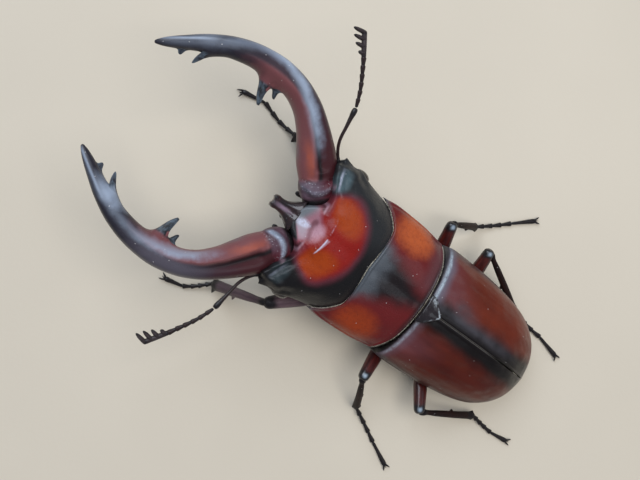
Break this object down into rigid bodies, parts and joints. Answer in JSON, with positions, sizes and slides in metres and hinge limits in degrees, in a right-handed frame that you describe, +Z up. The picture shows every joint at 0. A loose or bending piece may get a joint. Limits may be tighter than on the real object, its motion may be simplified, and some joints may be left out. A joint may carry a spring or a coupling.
{
  "type": "stag beetle",
  "caption": "Life-size still model of a male stag beetle with long toothed jaws spread wide, front raised, standing on six legs; for display or a nature scene.",
  "frame": {"origin": "on the floor, in the middle of the whole beetle's footprint box", "axes": "+Z up; the head and jaws point along -Y and the tail along +Y; the beetle's own left side is +X"},
  "size_m": [0.0572, 0.0891, 0.0261],
  "materials": {
    "head_shell": "glossy shell, orange red in two blots on black, darker towards the sides and neck",
    "pronotum_shell": "glossy shell, orange red side patches, black middle, front band and rims",
    "wing_case": "polished dark garnet shell with a black band along the middle joint and base",
    "black_shell": "polished black shell",
    "jaw": "satin purple black shell, wine red on the inner faces, black teeth and tips",
    "belly_shell": "dark brown black shell with fine pits",
    "eye": "dark brown faceted gloss",
    "feeler": "satin black, duller club",
    "thigh": "glossy dark garnet with black knees",
    "limb": "glossy brown black"
  },
  "bodies": {
    "root": {"pronotum": "pronotum_shell", "mandible_left": "jaw", "mandible_right": "jaw", "head": "head_shell", "eye_left": "eye", "eye_right": "eye", "clypeus": "black_shell", "elytron_left": "wing_case", "elytron_right": "wing_case", "scutellum": "black_shell", "prosternum": "belly_shell", "pterothorax": "belly_shell", "abdomen": "belly_shell", "mentum": "black_shell", "antenna_scape_left": "feeler", "antenna_scape_right": "feeler", "antenna_funicle_left": "feeler", "antenna_funicle_right": "feeler", "antenna_club_left": "feeler", "antenna_club_right": "feeler", "palp_maxillary_left": "feeler", "palp_maxillary_right": "feeler", "palp_labial_left": "feeler", "palp_labial_right": "feeler", "leg_front_left_coxa": "limb", "leg_front_right_coxa": "limb", "leg_middle_left_coxa": "limb", "leg_middle_right_coxa": "limb", "leg_hind_left_coxa": "limb", "leg_hind_right_coxa": "limb", "leg_front_left_femur": "thigh", "leg_front_left_tibia": "limb", "leg_front_left_tarsus": "limb", "leg_front_left_claws": "limb", "leg_front_right_femur": "thigh", "leg_front_right_tibia": "limb", "leg_front_right_tarsus": "limb", "leg_front_right_claws": "limb", "leg_middle_left_femur": "thigh", "leg_middle_left_tibia": "limb", "leg_middle_left_tarsus": "limb", "leg_middle_left_claws": "limb", "leg_middle_right_femur": "thigh", "leg_middle_right_tibia": "limb", "leg_middle_right_tarsus": "limb", "leg_middle_right_claws": "limb", "leg_hind_left_femur": "thigh", "leg_hind_left_tibia": "limb", "leg_hind_left_tarsus": "limb", "leg_hind_left_claws": "limb", "leg_hind_right_femur": "thigh", "leg_hind_right_tibia": "limb", "leg_hind_right_tarsus": "limb", "leg_hind_right_claws": "limb"}
  },
  "joints": []
}
